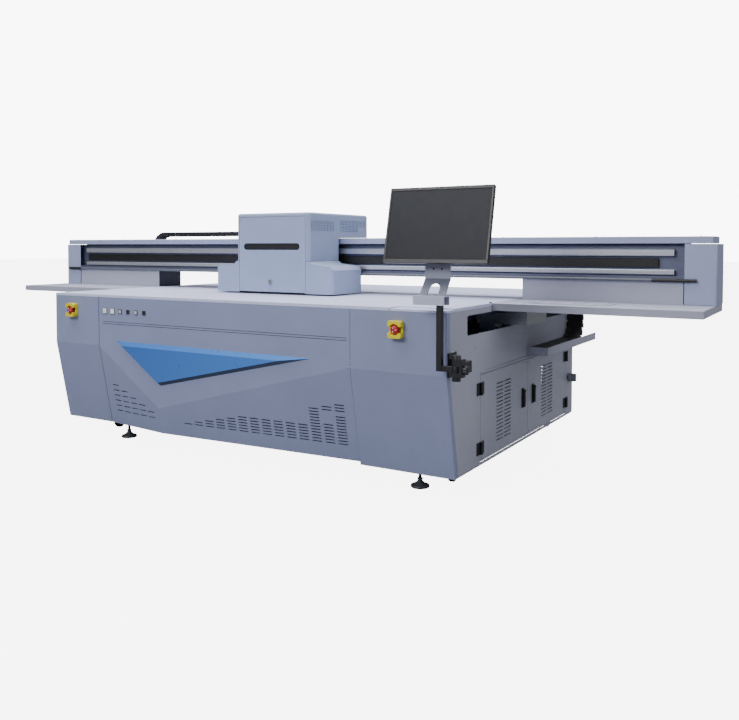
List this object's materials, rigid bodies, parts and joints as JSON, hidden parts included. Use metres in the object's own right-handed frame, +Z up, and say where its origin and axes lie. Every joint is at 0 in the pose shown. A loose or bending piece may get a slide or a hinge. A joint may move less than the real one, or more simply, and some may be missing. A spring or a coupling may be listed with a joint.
{
  "type": "flatbed uv printer",
  "caption": "Wide flatbed UV printer: faceted grey cabinet with a fixed bed, travelling gantry, print carriage and operator screen.",
  "frame": {"origin": "on the floor, below the middle of the overall bounding box, which is also the middle of the cabinet's footprint to within a few millimetres", "axes": "+X to the operator's right along the gantry beam, +Y from the operator's side to the rear, +Z up"},
  "size_m": [4.568, 2.012, 1.4026],
  "materials": {
    "body_paint": "satin powder coat",
    "side_paint": "satin powder coat",
    "carriage_paint": "satin",
    "blue_paint": "gloss",
    "bed_aluminium": "fine ground",
    "frame_steel": "matt",
    "bright_steel": "ground",
    "black_steel": "satin",
    "beam_aluminium": "extruded",
    "dark_strip": "matt",
    "chain_plastic": "matt",
    "yellow_plastic": "semi gloss",
    "red_plastic": "semi gloss",
    "white_plastic": "semi gloss",
    "dark_plastic": "matt",
    "foot_steel": "matt",
    "wheel_rubber": "matt",
    "module_grey": "matt",
    "bottle_plastic": "matt"
  },
  "bodies": {
    "cabinet": {"base_frame": "frame_steel", "front_panel": "body_paint", "front_pillars": "body_paint", "left_side_panel": "side_paint", "right_side_panel": "side_paint", "rear_panel": "side_paint", "print_bed": "bed_aluminium", "vacuum_blower": "frame_steel", "y_rails": "bright_steel", "blue_trim": "blue_paint", "chain_trough": "side_paint", "y_chain_lower_run": "chain_plastic", "door_hinge_leaves": "black_steel", "estop_guards": "yellow_plastic", "control_panel_fittings": "dark_plastic", "control_modules": "module_grey", "ink_bottles": "bottle_plastic", "clamp_bracket": "black_steel"},
    "foot_fl": {"foot_front_left": "foot_steel"},
    "foot_fr": {"foot_front_right": "foot_steel"},
    "foot_rl": {"foot_rear_left": "foot_steel"},
    "foot_rr": {"foot_rear_right": "foot_steel"},
    "caster_fl": {"caster_fork_front_left": "bright_steel"},
    "caster_fr": {"caster_fork_front_right": "bright_steel"},
    "wheel_fl": {"wheel_front_left": "wheel_rubber"},
    "wheel_fr": {"wheel_front_right": "wheel_rubber"},
    "wheel_rl": {"wheel_rear_left": "wheel_rubber"},
    "wheel_rr": {"wheel_rear_right": "wheel_rubber"},
    "front_door": {"door_front": "side_paint", "door_front_fittings": "black_steel"},
    "rear_door": {"door_rear": "side_paint", "door_rear_fittings": "black_steel"},
    "estop_left": {"estop_head_left": "red_plastic"},
    "estop_right": {"estop_head_right": "red_plastic"},
    "button_start": {"push_button_start": "white_plastic"},
    "button_home": {"push_button_home": "white_plastic"},
    "power_switch": {"main_switch": "dark_plastic"},
    "knob": {"clamp_knob": "dark_plastic"},
    "screen_arm": {"post_arm": "black_steel", "monitor_stand": "black_steel"},
    "screen": {"monitor": "dark_plastic"},
    "gantry": {"gantry_beam": "beam_aluminium", "gantry_covers": "body_paint", "gantry_trays": "side_paint", "x_rails": "bright_steel", "x_magnet_track": "dark_strip", "crash_bar": "dark_plastic", "x_chain_lower_run": "chain_plastic", "y_bearing_arms": "bright_steel", "y_chain_upper_run": "chain_plastic"},
    "y_bend": {"y_chain_bend": "chain_plastic"},
    "x_bend": {"x_chain_bend": "chain_plastic"},
    "slider": {"slider_plate": "beam_aluminium", "x_chain_upper_run": "chain_plastic"},
    "carriage": {"carriage_frame": "beam_aluminium", "carriage_upper_cover": "carriage_paint", "carriage_lower_cover": "carriage_paint", "service_hatch": "carriage_paint", "print_heads": "dark_plastic", "uv_lamps": "black_steel"}
  },
  "joints": [
    {"name": "gantry_y", "type": "slide", "parent": "cabinet", "child": "gantry", "axis": [0, 1, 0], "range_m": [-0.42, 0.78], "deforming": ["y_chain_lower_run", "y_chain_upper_run"]},
    {"name": "carriage_x", "type": "slide", "parent": "gantry", "child": "slider", "axis": [1, 0, 0], "range_m": [-1.25, 1.7], "deforming": ["x_chain_lower_run", "x_chain_upper_run"]},
    {"name": "carriage_lift", "type": "slide", "parent": "slider", "child": "carriage", "axis": [0, 0, 1], "range_m": [0, 0.1]},
    {"name": "y_bend_travel", "type": "slide", "parent": "cabinet", "child": "y_bend", "axis": [0, 1, 0], "range_m": [-0.21, 0.39]},
    {"name": "x_bend_travel", "type": "slide", "parent": "gantry", "child": "x_bend", "axis": [1, 0, 0], "range_m": [-0.625, 0.85]},
    {"name": "foot_fl_height", "type": "slide", "parent": "cabinet", "child": "foot_fl", "axis": [0, 0, -1], "range_m": [0, 0.02]},
    {"name": "foot_fr_height", "type": "slide", "parent": "cabinet", "child": "foot_fr", "axis": [0, 0, -1], "range_m": [0, 0.02]},
    {"name": "foot_rl_height", "type": "slide", "parent": "cabinet", "child": "foot_rl", "axis": [0, 0, -1], "range_m": [0, 0.02]},
    {"name": "foot_rr_height", "type": "slide", "parent": "cabinet", "child": "foot_rr", "axis": [0, 0, -1], "range_m": [0, 0.02]},
    {"name": "caster_fl_swivel", "type": "hinge", "parent": "cabinet", "child": "caster_fl", "pos_m": [-1.11, -0.63, 0.09], "axis": [0, 0, 1], "continuous": true},
    {"name": "caster_fr_swivel", "type": "hinge", "parent": "cabinet", "child": "caster_fr", "pos_m": [1.185, -0.63, 0.09], "axis": [0, 0, 1], "continuous": true},
    {"name": "wheel_fl_spin", "type": "hinge", "parent": "caster_fl", "child": "wheel_fl", "pos_m": [-1.11, -0.612, 0.042], "axis": [1, 0, 0], "continuous": true},
    {"name": "wheel_fr_spin", "type": "hinge", "parent": "caster_fr", "child": "wheel_fr", "pos_m": [1.185, -0.612, 0.042], "axis": [1, 0, 0], "continuous": true},
    {"name": "wheel_rl_spin", "type": "hinge", "parent": "cabinet", "child": "wheel_rl", "pos_m": [-1.11, 0.77, 0.042], "axis": [1, 0, 0], "continuous": true},
    {"name": "wheel_rr_spin", "type": "hinge", "parent": "cabinet", "child": "wheel_rr", "pos_m": [1.185, 0.77, 0.042], "axis": [1, 0, 0], "continuous": true},
    {"name": "front_door_hinge", "type": "hinge", "parent": "cabinet", "child": "front_door", "pos_m": [1.309, -0.552, 0.31], "axis": [0, 0, -1], "range_deg": [0, 110]},
    {"name": "rear_door_hinge", "type": "hinge", "parent": "cabinet", "child": "rear_door", "pos_m": [1.309, 0.779, 0.31], "axis": [0, 0, 1], "range_deg": [0, 110]},
    {"name": "estop_left_press", "type": "slide", "parent": "cabinet", "child": "estop_left", "axis": [0, 1, 0], "range_m": [0, 0.006]},
    {"name": "estop_right_press", "type": "slide", "parent": "cabinet", "child": "estop_right", "axis": [0, 1, 0], "range_m": [0, 0.006]},
    {"name": "button_start_press", "type": "slide", "parent": "cabinet", "child": "button_start", "axis": [0, 1, 0], "range_m": [0, 0.003], "stiffness_N_per_m": 900, "springref_m": -0.001},
    {"name": "button_home_press", "type": "slide", "parent": "cabinet", "child": "button_home", "axis": [0, 1, 0], "range_m": [0, 0.003], "stiffness_N_per_m": 900, "springref_m": -0.001},
    {"name": "power_switch_turn", "type": "hinge", "parent": "cabinet", "child": "power_switch", "pos_m": [1.33, 0.835, 0.32], "axis": [1, 0, 0], "range_deg": [0, 90]},
    {"name": "knob_turn", "type": "hinge", "parent": "cabinet", "child": "knob", "pos_m": [1.4, -0.975, 0.6105], "axis": [1, 0, 0], "continuous": true},
    {"name": "screen_swivel", "type": "hinge", "parent": "cabinet", "child": "screen_arm", "pos_m": [1.37, -0.975, 0.6105], "axis": [0, 0, 1], "range_deg": [0, 90]},
    {"name": "screen_tilt", "type": "hinge", "parent": "screen_arm", "child": "screen", "pos_m": [1.2525, -0.917, 1.118], "axis": [-1, 0, 0], "range_deg": [-8, 5]}
  ],
  "couplings": [
    {"joint": "y_bend_travel", "follows": "gantry_y", "ratio": 0.5},
    {"joint": "x_bend_travel", "follows": "carriage_x", "ratio": 0.5}
  ]
}
